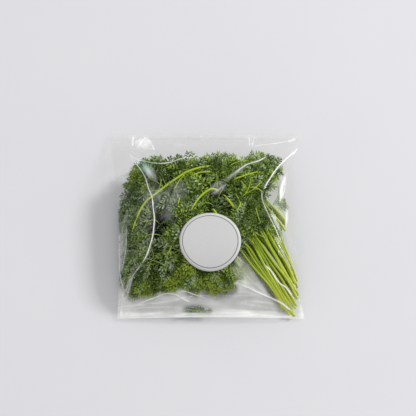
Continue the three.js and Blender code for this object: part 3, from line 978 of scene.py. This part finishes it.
def edge_fronds(rng, herb, count, inset, depths):
    """Fronds whose tips make the herb's ragged edge. They head partly away from its heart and partly
    straight out of the edge."""
    line, out = outline_line(count)
    heart = from_heart(*line.T)
    turn = np.angle(np.exp(1j * (out - heart)))
    heading = heart + 0.6 * turn + rng.normal(0, 0.3, count)
    least, most, more_at_top = inset
    inwards = rng.uniform(least, most, count) * (1 + more_at_top * near_top(line[:, 1])) * MM
    length = herb.frond_length * rng.uniform(0.55, 0.95, count)
    fronds = Fronds(rng, line - way_of(heading) * inwards[:, None], heading, length, depths)
    fronds.edge[:] = True
    return fronds


def stray_fronds(rng):
    """The fronds that lie apart from the rest. The narrow ones are darkest."""
    x, y, turn, length, width, depth = np.array(STRAY_FRONDS, float).T
    fronds = Fronds(rng, np.stack([x, y], axis=1) * MM, np.radians(turn), length * MM, (0, 0))
    fronds.width, fronds.depth, fronds.stray = width, depth * MM, np.ones(len(x), bool)
    fronds.tint = (0.5 + 0.5 * fronds.tint) * (width > 0.5)
    return fronds


def in_herb(bag, points):
    """True inside the herb's outline, made ragged by slow waves. The outline is the one at the front film,
    and deeper in the bag it is moved towards the top seam."""
    x, y, z = np.moveaxis(points, -1, 0)
    level = y - HERB_LEAN * (bag.front(*bag.across(x, y)) - z)
    ragged = [1.2 * MM * waves(x, level, 6 * MM, 6 * MM, seed) for seed in (31, 32)]
    return inside(closed(HERB_OUTLINE), x + ragged[0], level + ragged[1])


class Canopy:
    """How high the leaf stands. The floor is cut into small squares; each holds the height of the highest
    leaflet over it, averaged with its neighbours."""

    def __init__(self, bag, herb, fronds):
        plan, _ = frond_plan(herb)
        points = bag.hold(fronds.points(bag, plan[:, :2]), herb.film_margin)
        points = points[in_herb(bag, points) | fronds.stray[:, None]]
        self.bag, self.cell = bag, herb.canopy_cell
        high = np.full((CANOPY_SQUARES, CANOPY_SQUARES), -1.0)
        np.maximum.at(high, self.square(points), points[:, 2])
        near = np.array([np.roll(high, (i, j), axis=(0, 1)) for i in (-1, 0, 1) for j in (-1, 0, 1)])
        number = (near > 0).sum(axis=0)
        self.level = np.where(number > 0, np.maximum(near, 0).sum(axis=0) / np.maximum(number, 1), -1)

    def square(self, points):
        """The row and the column of the square that holds each point."""
        place = (points[..., :2] / self.cell + CANOPY_SQUARES / 2).astype(int)
        return tuple(np.moveaxis(np.clip(place, 0, CANOPY_SQUARES - 1), -1, 0))

    def shade(self, points):
        """How much painted shade each place gets, from 0 to 1, for lying under the leaf or deep in the bag.
        Near the back film and the herb's rim it is half as dark, because they are open too, and the herb's
        sides are lighter still."""
        points = points.reshape(-1, 3)
        x, y, z = points.T
        u, v = self.bag.across(x, y)
        depth = self.bag.front(u, v) - z
        under = smooth_step(-0.6 * MM, 1.6 * MM, self.level[self.square(points)] - z)
        rim, _ = distance_to(closed(HERB_OUTLINE), x, y - HERB_LEAN * depth)
        shut_in = smooth_step(0, 6 * MM, np.minimum(rim, z - self.bag.back(u, v)))
        beside = smooth_step(16 * MM, 4 * MM, rim) * smooth_step(3 * MM, 9 * MM, depth)
        dark = np.maximum(under, smooth_step(3 * MM, 8 * MM, depth))
        return dark * (0.5 + 0.5 * shut_in) * (1 - 0.75 * beside)


def leaflets_of(bag, herb, canopy, fronds, rng):
    """All the leaflets of a sprig. Each is the flat blade, scaled, folded along its rib, drooped by a
    parabola, tilted and turned to its heading, and held between the films. A few are missing, as on a
    handled bunch. Gives points, triangles and the values that their finish needs."""
    plan, _ = frond_plan(herb)
    places = fronds.points(bag, plan[:, :2])
    shape = places.shape[:2]
    places[..., 2] += rng.uniform(-0.6, 0.6, shape) * MM
    heading = plan[:, 2] + fronds.heading[:, None] + fronds.bend[:, None] * (plan[:, 0] - 0.5)
    heading = heading + rng.uniform(-0.3, 0.3, shape)
    size = herb.leaflet_length * plan[:, 3] * np.clip(fronds.length[:, None] / herb.frond_length, 0.7, 1.5)
    size = size * rng.uniform(0.75, 1.15, shape) * np.sqrt(fronds.width)[:, None]
    base = bag.hold(places, herb.film_margin)
    tip = base.copy()
    tip[..., :2] += 0.7 * size[..., None] * way_of(heading)
    within = in_herb(bag, base) & (in_herb(bag, tip) | fronds.edge[:, None])
    keep = (within | fronds.stray[:, None]) & (rng.uniform(0, 1, shape) > MISSING_SHARE)
    x, y = places[keep, 0], places[keep, 1]
    dull = in_patches(DULL_PATCHES, x, y)
    turned = rng.uniform(0, 1, shape)[keep] < herb.turned_share * (1 + 3.5 * dull)
    tint = np.clip(0.9 * fronds.tint[:, None] + 1.1 * rng.uniform(0, 1, shape) - 0.5, 0, 1)[keep]
    # Painted shade darkens the leaflets in the shaded patches.
    tint = tint * (1 - 0.8 * in_patches(PAINTED_SHADE_PATCHES, x, y)) * (1 - 0.55 * dull)
    heading, size, count = heading[keep], size[keep], len(x)

    pitch, roll = rng.uniform(-0.6, 0.5, count)[:, None], rng.uniform(-0.7, 0.7, count)[:, None]
    forward = np.column_stack([way_of(heading) * np.cos(pitch), np.sin(pitch)])
    level_side = np.column_stack([-np.sin(heading), np.cos(heading), np.zeros(count)])
    side = level_side * np.cos(roll) + np.cross(forward, level_side) * np.sin(roll)
    normal = np.cross(forward, side)
    points, triangles, rib, out = blade()
    a, b = points[:, 0], points[:, 1]
    wide, fold, droop = (rng.uniform(low, high, count)[:, None]
                         for low, high in ((0.8, 1.2), (-0.6, 0.8), (-0.1, 0.4)))
    rise = fold * np.abs(b) - droop * a * a
    local = (a[:, None] * forward[:, None] + (b * wide)[..., None] * side[:, None]
             + rise[..., None] * normal[:, None])
    shaped = bag.hold(base[keep][:, None] + size[:, None, None] * local, herb.film_margin)
    # Painted light: leaflets in the lit patches are lighter and yellower.
    each_leaflet = (tint, in_patches(PAINTED_LIGHT_PATCHES, x, y), turned)
    tint, painted_light, turned = (np.repeat(values, len(points)) for values in each_leaflet)
    values = (tint, painted_light, canopy.shade(shaped), np.tile(rib, count), np.tile(out, count), turned)
    return shaped.reshape(-1, 3), repeated(triangles, len(points), count), values


def branches_of(bag, herb, fronds, line, line_height):
    """The stalks of a sprig's fronds: the side branches that the leaflets sit on, and the middle stalk of
    each frond with the curve that joins it to the nearest place on the sprig's main stalk. The curve is a
    parabola that leaves the frond straight. A stray frond's curve is only a short stub."""
    _, branches = frond_plan(herb)
    paths = fronds.points(bag, branches)
    paths[..., 2] -= 0.2 * MM
    paths = bag.hold(paths, herb.film_margin)
    paths = paths[in_herb(bag, paths[:, :, -1]) | fronds.stray[:, None]]
    side = tubes(paths, herb.branch_radius * np.linspace(1, 0.5, paths.shape[1]), 3)

    centre = fronds.points(bag, np.stack([np.linspace(0, 0.9, 9), np.zeros(9)], axis=1))
    centre[..., 2] -= 0.4 * MM
    nearest = np.hypot(*(fronds.behind()[:, None] - line).transpose(2, 0, 1)).argmin(axis=1)
    root = np.column_stack([line, line_height])[nearest]
    stub = np.column_stack([way_of(fronds.heading), np.zeros(len(root))]) * MM
    root[fronds.stray] = (centre[:, 0] - stub)[fronds.stray]
    first = centre[:, 0]
    ahead = centre[:, 1] - first
    ahead /= np.linalg.norm(ahead, axis=1, keepdims=True)
    bend = first - ahead * 0.45 * np.linalg.norm(first - root, axis=1, keepdims=True)
    t = np.linspace(0, 1, 8, endpoint=False)[None, :, None]
    joint = (1 - t) ** 2 * root[:, None] + 2 * t * (1 - t) * bend[:, None] + t * t * centre[:, :1]
    paths = bag.hold(np.concatenate([joint, centre], axis=1), herb.film_margin)
    return side, tubes(paths, herb.frond_radius * np.linspace(1, 0.4, paths.shape[1]), 5)


def stalk(bag, route, level, radii, sides=10, steps=CUT_STEPS):
    """One round stalk along a route in plan, at a share of the height between the films. Gives its line in
    plan, the line's height and the tube."""
    line = curve_through(route, steps)
    z = bag.between(line[:, 0], line[:, 1], level)
    path = bag.hold(np.column_stack([line, z]), radii[0] + 0.5 * MM)
    return line, path[:, 2], tubes(path[None], np.linspace(*radii, steps), sides)


def with_values(part, age_scale, age_shift, tint):
    """A tube with its age along it, from 0 at the cut end to 1 at the leaf tip, and its tint."""
    points, triangles, uv = part
    return points, triangles, uv, age_shift + age_scale * uv[:, 1], np.full(len(points), tint)


def bare_stalks(bag):
    """The stalks that lie on top. Those of the bundle sink from their cut ends into the leaf, by the root of
    the way that is left. Those over the leaf dive into it at both ends, by a sixth power of the way from
    their middle."""
    sinking = 0.72 + 0.25 * np.linspace(1, 0, CUT_STEPS) ** 0.5
    diving = 0.97 - 0.14 * np.linspace(-1, 1, LOOSE_STEPS) ** 6
    stalks = []
    for route, thick, tint in CUT_STALKS:
        _, _, tube = stalk(bag, np.array(route) * MM, sinking, (thick * MM, 0.7 * thick * MM))
        stalks.append(with_values(tube, 0.4, 0.0, tint))
    for route, thick, thin in LOOSE_STALKS:
        _, _, tube = stalk(bag, np.array(route) * MM, diving, (thick * MM, thin * MM), 8, LOOSE_STEPS)
        stalks.append(with_values(tube, 0.1, 0.25, 0.9))
    return stalks


def plan_layer(bag, herb, layer, rng):
    """The stalks and the fronds of one layer of sprigs. The stalks fan out, and the fronds lie in beds."""
    level = (layer + 0.5) / len(LAYERS)
    shares = (np.arange(FANNED) + 0.15 + 0.35 * layer) / FANNED
    routes = [fan_route(share, rng) for share in shares] + [np.array(SIDE_ROUTE) * MM]
    stalks = [stalk(bag, route, np.clip(level + rng.uniform(-0.12, 0.12), 0, 0.92),
                    (herb.stem_radius * rng.uniform(0.6, 1.1), herb.tip_radius)) for route in routes]
    count, edge_inset, edge_depths, beds = LAYERS[layer]
    fronds = edge_fronds(rng, herb, count, edge_inset, edge_depths)
    for spacing, inset, depths, grown in beds:
        fronds = fronds.joined(scattered_fronds(rng, herb, spacing, inset, depths, grown))
    on_top = layer == len(LAYERS) - 1
    return stalks, fronds.joined(stray_fronds(rng)) if on_top else fronds


def make_layer(bag, herb, canopy, plan, first_number, extra, rng):
    """One layer of sprigs. Each frond hangs on the stalk that passes nearest behind it, and the extra bare
    stalks are dealt out. A sprig's stalks are one piece, and its leaflets another."""
    stalks, fronds = plan
    behind = fronds.behind()[:, None]
    away = [np.hypot(*(behind - line).transpose(2, 0, 1)).min(axis=1) for line, _, _ in stalks]
    owners = np.argmin(away, axis=0)
    for i, (line, line_height, main) in enumerate(stalks):
        node = f"sprig_{first_number + i:02d}"
        own = fronds.chosen(owners == i)
        side, centre = branches_of(bag, herb, own, line, line_height)
        tint = rng.uniform(0.2, 1)
        parts = [with_values(main, 1.0, 0.0, tint), with_values(side, 0.1, 0.9, tint),
                 with_values(centre, 0.5, 0.45, tint)] + extra[i::len(stalks)]
        points, triangles, uv, age, tints = join(parts)
        make_piece(f"{node}_stem", points, triangles, finish("chervil_stem"), node, uv,
                   dict(zip(STEM_VALUES, (age, tints, canopy.shade(points)))))
        points, triangles, values = leaflets_of(bag, herb, canopy, own, rng)
        make_piece(f"{node}_leaf", points, triangles, finish("chervil_leaf"), node, None,
                   dict(zip(LEAF_VALUES, values)))


# ---- The label ----
def label_surface(bag, rings, sectors):
    """A round sheet in rings that lies on the front film, with a wall round its rim and an underside. Gives
    its points, its quads and each point's share of the way to the rim."""
    share, turn = np.meshgrid(np.linspace(0, 1, rings), np.linspace(0, 2 * math.pi, sectors, endpoint=False),
                              indexing="ij")
    x = bag.label_middle.x + bag.label_radius * share * np.cos(turn)
    y = bag.label_middle.y + bag.label_radius * share * np.sin(turn)
    under = bag.front(*bag.across(x, y)) + LABEL_CLEARANCE
    corner = np.arange(rings * sectors).reshape(rings, sectors)
    after = np.roll(corner, -1, axis=1)
    top = np.stack([corner[:-1], corner[1:], after[1:], after[:-1]], axis=-1).reshape(-1, 4)
    bottom = top[:, ::-1] + corner.size
    rim = np.stack([corner[-1], corner[-1] + corner.size, after[-1] + corner.size, after[-1]], axis=-1)
    heights = (under + bag.sizes.label_thickness, under)
    points = np.concatenate([np.stack([x, y, z], axis=-1).reshape(-1, 3) for z in heights])
    return points, np.concatenate([top, bottom, rim]), np.tile(share.ravel(), 2)


# ---- Settings ----
def length(name, default, description):
    """A setting that is a length in metres."""
    return FloatProperty(name=name, description=description, default=default, unit="LENGTH")


def number(name, default, description):
    """A setting that is a plain number."""
    return FloatProperty(name=name, description=description, default=default)


def direction(name, default, description):
    """A setting that is a way to look along."""
    return FloatVectorProperty(name=name, description=description, default=default, subtype="DIRECTION")


def colour(name, default, description):
    """A setting that is a colour."""
    return FloatVectorProperty(name=name, description=description, default=default, subtype="COLOR", size=3,
                               min=0, max=1)


class ChervilBagSizes(bpy.types.PropertyGroup):
    """The sizes of the bag and its label."""

    end_seam: length("End seam", 0.006, "Width of the welded top and bottom edges")
    cut_width: length("Cut width", 0.176, "Width of each film before the bag was filled")
    cut_length: length("Cut length", 0.172, "Length of each film before the bag was filled")
    side_fold: length("Side fold", 0.0015, "Width of the flat edge at each side")
    film_gap: length("Film gap", 0.00006, "Space between the two films where they lie together")
    side_power: number("Side power", 3.0, "Power of the bulge from side to side")
    end_power: number("End power", 4.0, "Power of the bulge from seam to seam")
    corner_lift: length("Corner lift", 0.002, "Height of a corner above the floor")
    side_lift: length("Side lift", 0.007, "How much higher the middle of a side is")
    end_lift: length("End lift", 0.003, "How much higher the middle of an end is")
    back_press: number("Back press", 1.9, "How soon the back film comes down to the floor")
    label_thickness: length("Label thickness", 0.00015, "Thickness of the paper label")


class ChervilHerbSizes(bpy.types.PropertyGroup):
    """The sizes of the sprigs."""

    stem_radius: length("Stem radius", 0.001, "Radius of a stalk at its cut end")
    tip_radius: length("Tip radius", 0.00045, "Radius of a stalk at its tip")
    frond_length: length("Frond length", 0.024, "Length of the largest frond")
    frond_radius: length("Frond stalk radius", 0.0004, "Radius of a frond's middle stalk")
    branch_pairs: IntProperty(name="Branch pairs", description="Pairs of side branches on a frond", default=4)
    branch_radius: length("Branch radius", 0.00022, "Radius of a side branch")
    leaflet_length: length("Leaflet length", 0.011, "Length of the largest leaflet")
    leaflet_step: number("Leaflet step", 0.3, "Space between leaflets, as a share of the frond")
    turned_share: number("Turned leaflets", 0.12, "Share of the leaflets that show their underside")
    canopy_cell: length("Canopy cell", 0.002, "Side of a square in which the leaf's height is taken")
    film_margin: length("Film margin", 0.0006, "Space kept between the leaf and the films")


class ChervilColours(bpy.types.PropertyGroup):
    """The colours of every finish."""

    # Painted shade, which is also the dark of the leaf's random mottle.
    leaf_deep: colour("Deep leaf", (0.012, 0.027, 0.004), "Leaflets deep in the bunch")
    leaf_dark: colour("Dark leaf", (0.035, 0.072, 0.010), "The darkest leaflets on top")
    leaf_light: colour("Light leaf", (0.46, 0.66, 0.11), "The lightest leaflets")
    leaf_under: colour("Leaf underside", (0.46, 0.58, 0.36), "Leaflets turned over")
    # Painted light on the leaf in the lit patches.
    leaf_young: colour("Young leaf", (0.36, 0.48, 0.045), "Leaflets at the edge of the bunch")
    leaf_sheen: colour("Leaf sheen", (0.75, 1.0, 0.35), "The tint of the leaf's gloss")
    stem_dark: colour("Dark stem", (0.20, 0.30, 0.010), "The grooves and older stalks")
    stem_light: colour("Light stem", (0.50, 0.64, 0.03), "The ribs and fresh stalks")
    stem_cut: colour("Cut stem", (0.64, 0.68, 0.09), "The pale end of a stalk")
    film: colour("Film", (0.990, 0.990, 0.982), "The tint of light through the film")
    # Painted highlight and reflection on the film: white, green light thrown by the leaf, and a cooler tint.
    glare: colour("Glare", (0.98, 0.98, 0.965), "The milky look of creased film")
    glare_green: colour("Green bloom", (0.76, 0.80, 0.60), "Milky film that leaf shines on")
    glare_cool: colour("Cool bloom", (0.66, 0.92, 0.88), "Milky film with a cool shine")
    paper: colour("Paper", (0.61, 0.61, 0.605), "The label")
    paper_shade: colour("Paper shade", (0.57, 0.57, 0.565), "The label's cloudy fibre")
    ink: colour("Ink", (0.12, 0.12, 0.11), "The label's printed ring")
    floor: colour("Floor", (0.74, 0.74, 0.765), "The floor")
    floor_shade: colour("Floor shade", (0.72, 0.72, 0.75), "The floor's faint cloud")


class ChervilStage(bpy.types.PropertyGroup):
    """The camera and the lights."""

    elevation: FloatProperty(name="Elevation", description="How far the camera looks down",
                             default=math.radians(62), subtype="ANGLE")
    view_width: length("View width", 0.344, "Width of the view at the bag")
    distance: length("Distance", 2.6, "From the camera to the bag")
    aim: FloatVectorProperty(name="Aim", description="The place that the camera looks at",
                             default=(0.0017, 0.017, 0), subtype="TRANSLATION")
    key_way: direction("Key way", (0.74, 0.33, 0.50), "The way from the bag to the key lamp")
    key_power: number("Key power", 112.0, "Power of the key lamp, in watts")
    key_size: length("Key size", 0.9, "Side of the key lamp")
    key_distance: length("Key distance", 4.0, "From the key lamp to the bag")
    sky: number("Sky", 0.65, "Brightness of the even light all round")


# ---- Operators ----
def bag_of(context):
    """The bag's surfaces, from the settings."""
    return Bag(context.scene.chervil_bag)


class CHERVIL_OT_films(bpy.types.Operator):
    """Make the two clear films of the bag"""

    bl_idname = "chervil.films"
    bl_label = "Bag films"

    def execute(self, context):
        bag = bag_of(context)
        for node, surface, columns, rows in (
            ("front_film", front_film_surface, 300, 320),
            ("back_film", back_film_surface, 150, 160),
        ):
            u, v = grid_of(np.linspace(-1, 1, columns), np.linspace(-1, 1, rows))
            x, y = bag.place(u, v)
            z, values = surface(bag, u, v, x, y)
            faces = grid_faces(rows, columns)
            if node == "back_film":
                faces = faces[:, ::-1]
            points, uv = np.stack([x, y, z], axis=1), np.stack([u + 1, v + 1], axis=1) / 2
            piece = make_piece(f"{node}_sheet", points, faces, finish("clear_film"), node, uv,
                               dict(zip(FILM_VALUES, values)))
        return {"FINISHED"}


class CHERVIL_OT_label(bpy.types.Operator):
    """Make the round paper label"""

    bl_idname = "chervil.label"
    bl_label = "Paper label"

    def execute(self, context):
        points, faces, rim = label_surface(bag_of(context), 16, 96)
        make_piece("label_disc", points, faces, finish("plain_paper"), "label", None,
                   {"rim": rim})
        return {"FINISHED"}


class CHERVIL_OT_sprigs(bpy.types.Operator):
    """Make the sprigs of chervil, layer by layer"""

    bl_idname = "chervil.sprigs"
    bl_label = "Sprigs"

    def execute(self, context):
        bag, herb = bag_of(context), context.scene.chervil_herb
        draws = [np.random.default_rng(FIRST_SEED + layer) for layer in range(len(LAYERS))]
        plans = [plan_layer(bag, herb, layer, rng) for layer, rng in enumerate(draws)]
        every_frond = plans[0][1]
        for _, fronds in plans[1:]:
            every_frond = every_frond.joined(fronds)
        canopy = Canopy(bag, herb, every_frond)
        for layer, (plan, rng) in enumerate(zip(plans, draws)):
            extra = bare_stalks(bag) if layer == len(LAYERS) - 1 else []
            make_layer(bag, herb, canopy, plan, 1 + layer * (FANNED + 1), extra, rng)
        return {"FINISHED"}


def stand_at(piece, aim, way, distance):
    """Stand the camera or lamp at a distance from the aim, along the way, and turn it to look at the aim."""
    piece.location = aim + way * distance
    piece.rotation_euler = (-way).to_track_quat("-Z", "Y").to_euler()
    bpy.context.scene.collection.objects.link(piece)


class CHERVIL_OT_stage(bpy.types.Operator):
    """Make the floor, the lights and the camera"""

    bl_idname = "chervil.stage"
    bl_label = "Stage"

    def execute(self, context):
        scene, stage = context.scene, context.scene.chervil_stage
        scene.view_settings.view_transform = "Standard"
        mesh = bpy.data.meshes.new("floor")
        ways = ((-1, -1), (1, -1), (1, 1), (-1, 1))
        corners = [(FLOOR_REACH * x, FLOOR_REACH * y, -FLOOR_DROP) for x, y in ways]
        mesh.from_pydata(corners, [], [(0, 1, 2, 3)])
        mesh.materials.append(finish("pale_floor"))
        floor = bpy.data.objects.new("floor", mesh)
        scene.collection.objects.link(floor)

        aim = Vector(stage.aim)
        camera = bpy.data.objects.new("camera", bpy.data.cameras.new("camera"))
        camera.data.lens = camera.data.sensor_width * stage.distance / stage.view_width
        back = Vector((0, -math.cos(stage.elevation), math.sin(stage.elevation)))
        stand_at(camera, aim, back, stage.distance)
        scene.camera = camera

        lamp = bpy.data.lights.new("key", "AREA")
        lamp.energy, lamp.size = stage.key_power, stage.key_size
        key = bpy.data.objects.new("key", lamp)
        stand_at(key, aim, Vector(stage.key_way).normalized(), stage.key_distance)

        scene.world = bpy.data.worlds.new("sky")
        scene.world.use_nodes = True
        tree = scene.world.node_tree
        tree.nodes.clear()
        lit = add(tree, "ShaderNodeBackground", {"Color": (1, 1, 1), "Strength": stage.sky}).outputs[0]
        seen_colour = scene.chervil_colours.floor
        seen = add(tree, "ShaderNodeBackground", {"Color": seen_colour, "Strength": 1.0}).outputs[0]
        path = add(tree, "ShaderNodeLightPath").outputs
        mirror = maths(tree, "MAXIMUM", path["Is Camera Ray"], path["Is Glossy Ray"])
        through = maths(tree, "MAXIMUM", mirror, path["Is Transmission Ray"])
        add(tree, "ShaderNodeOutputWorld", {"Surface": blend(tree, through, lit, seen)})
        return {"FINISHED"}


class CHERVIL_PT_panel(bpy.types.Panel):
    """The steps and the settings, in the sidebar"""

    bl_label = "Chervil"
    bl_space_type = "VIEW_3D"
    bl_region_type = "UI"
    bl_category = "Chervil"

    def draw(self, context):
        for step in STEPS:
            self.layout.operator(step.bl_idname)
        for key in SETTINGS:
            group = getattr(context.scene, key)
            box = self.layout.box()
            for name in group.__annotations__:
                box.prop(group, name)


STEPS = (CHERVIL_OT_stage, CHERVIL_OT_films, CHERVIL_OT_label, CHERVIL_OT_sprigs)
SETTINGS = {
    "chervil_bag": ChervilBagSizes,
    "chervil_herb": ChervilHerbSizes,
    "chervil_colours": ChervilColours,
    "chervil_stage": ChervilStage,
}


def register():
    """Add the settings, the operators and the panel."""
    for each in (*SETTINGS.values(), *STEPS, CHERVIL_PT_panel):
        bpy.utils.register_class(each)
    for key, group in SETTINGS.items():
        setattr(bpy.types.Scene, key, PointerProperty(type=group))


def unregister():
    """Take the settings, the operators and the panel away."""
    for key in SETTINGS:
        delattr(bpy.types.Scene, key)
    for each in (CHERVIL_PT_panel, *reversed(STEPS), *SETTINGS.values()):
        bpy.utils.unregister_class(each)


def main():
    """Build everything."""
    register()
    bpy.ops.chervil.stage()
    bpy.ops.chervil.films()
    bpy.ops.chervil.label()
    bpy.ops.chervil.sprigs()
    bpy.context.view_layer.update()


if __name__ == "__main__":
    main()
